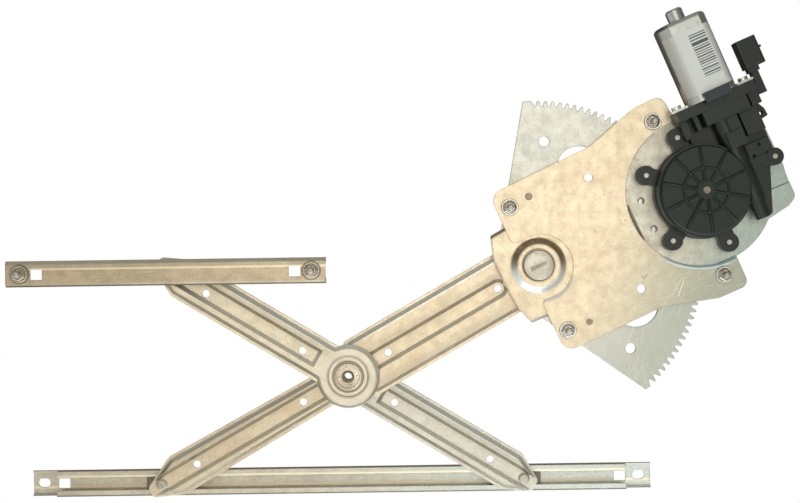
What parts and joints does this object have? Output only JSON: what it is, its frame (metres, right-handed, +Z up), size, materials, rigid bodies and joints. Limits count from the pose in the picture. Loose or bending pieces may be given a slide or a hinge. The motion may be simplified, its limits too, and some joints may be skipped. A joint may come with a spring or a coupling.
{
  "type": "window regulator",
  "caption": "Cross-arm electric window regulator: base plate, toothed sector and lift arm, crossing equaliser, fixed channel, glass rail and geared motor.",
  "frame": {"origin": "on the lift arm's pivot axis, in the front face of the base plate", "axes": "+X right along the rails, +Z up, +Y away from the viewer, into the door"},
  "size_m": [0.6696, 0.0686, 0.4106],
  "materials": {
    "zinc_sheet": "zinc plated, cream passivated, satin",
    "grey_sheet": "zinc plated, satin",
    "rail_steel": "zinc plated, dull",
    "zinc_fastener": "zinc plated, bright",
    "can_steel": "drawn steel, satin",
    "black_plastic": "moulded, fine grain",
    "shoe_plastic": "moulded, smooth",
    "pinion_steel": "cut steel, oiled",
    "label": "printed film, satin",
    "copper": "enamelled copper",
    "bush_bronze": "sintered bronze",
    "magnet": "ferrite, matt",
    "rubber": "moulded rubber"
  },
  "bodies": {
    "root": {"base_plate": "zinc_sheet", "pivot_bracket": "zinc_sheet", "motor_bracket": "grey_sheet", "motor_bracket_rivets": "zinc_fastener", "base_studs": "zinc_fastener", "base_nuts": "zinc_fastener", "fixed_channel": "rail_steel", "channel_studs": "zinc_fastener", "channel_nuts": "zinc_fastener", "gear_housing": "black_plastic", "gear_cover": "black_plastic", "housing_screws": "zinc_fastener", "motor_can": "can_steel", "can_bush": "bush_bronze", "magnets": "magnet", "can_flange": "can_steel", "flange_screws": "zinc_fastener", "brush_holder": "black_plastic", "can_clip": "black_plastic", "can_label": "label", "connector_shell": "black_plastic", "connector_terminals": "bush_bronze"},
    "lift": {"sector_gear": "grey_sheet", "sector_rivets": "zinc_fastener", "lift_arm": "zinc_sheet", "pivot_pin": "zinc_fastener", "lift_rail_pin": "zinc_fastener"},
    "pinion": {"output_pinion": "pinion_steel", "worm_wheel": "shoe_plastic", "wheel_damper": "rubber"},
    "armature": {"armature_shaft": "can_steel", "armature_core": "can_steel", "windings": "copper", "commutator": "copper"},
    "equaliser": {"equaliser_upper_arm": "zinc_sheet", "equaliser_lower_arm": "zinc_sheet", "centre_rivet": "zinc_fastener", "equaliser_rail_pin": "zinc_fastener", "equaliser_channel_pin": "zinc_fastener"},
    "left_shoe": {"rear_shoe_left": "shoe_plastic"},
    "right_shoe": {"rear_shoe_right": "shoe_plastic"},
    "channel_shoe": {"front_shoe": "shoe_plastic"},
    "rail": {"glass_rail": "rail_steel"}
  },
  "joints": [
    {"name": "lift_pivot", "type": "hinge", "parent": "root", "child": "lift", "pos_m": [0, 0, 0], "axis": [0, 1, 0], "range_deg": [-10, 64]},
    {"name": "pinion_spin", "type": "hinge", "parent": "root", "child": "pinion", "pos_m": [0.13819, 0, 0.06112], "axis": [0, 1, 0], "range_deg": [-744.33, 118.83]},
    {"name": "equaliser_pivot", "type": "hinge", "parent": "lift", "child": "equaliser", "pos_m": [-0.16337, 0, -0.09243], "axis": [0, 1, 0], "range_deg": [-132.53, 21.13]},
    {"name": "left_shoe_pivot", "type": "hinge", "parent": "lift", "child": "left_shoe", "pos_m": [-0.32482, 0, -0.18377], "axis": [0, 1, 0], "range_deg": [-64.5, 10.5]},
    {"name": "right_shoe_pivot", "type": "hinge", "parent": "equaliser", "child": "right_shoe", "pos_m": [-0.01351, 0, -0.18377], "axis": [0, 1, 0], "range_deg": [-11.13, 68.53]},
    {"name": "channel_shoe_pivot", "type": "hinge", "parent": "equaliser", "child": "channel_shoe", "pos_m": [-0.315, 0, 0], "axis": [0, 1, 0], "range_deg": [-11.13, 68.53]},
    {"name": "armature_spin", "type": "hinge", "parent": "root", "child": "armature", "pos_m": [0.17225, -0.0145, 0.07558], "axis": [-0.3907, 0, 0.9205], "range_deg": [-6970, 44500]},
    {"name": "rail_slide", "type": "slide", "parent": "right_shoe", "child": "rail", "axis": [1, 0, 0], "range_m": [-0.012, 0.012]}
  ],
  "couplings": [
    {"joint": "pinion_spin", "follows": "lift_pivot", "ratio": -11.583},
    {"joint": "equaliser_pivot", "follows": "lift_pivot", "ratio": -2.063},
    {"joint": "left_shoe_pivot", "follows": "lift_pivot", "ratio": -1},
    {"joint": "right_shoe_pivot", "follows": "lift_pivot", "ratio": 1.063},
    {"joint": "channel_shoe_pivot", "follows": "lift_pivot", "ratio": 1.063},
    {"joint": "armature_spin", "follows": "lift_pivot", "ratio": 695}
  ]
}
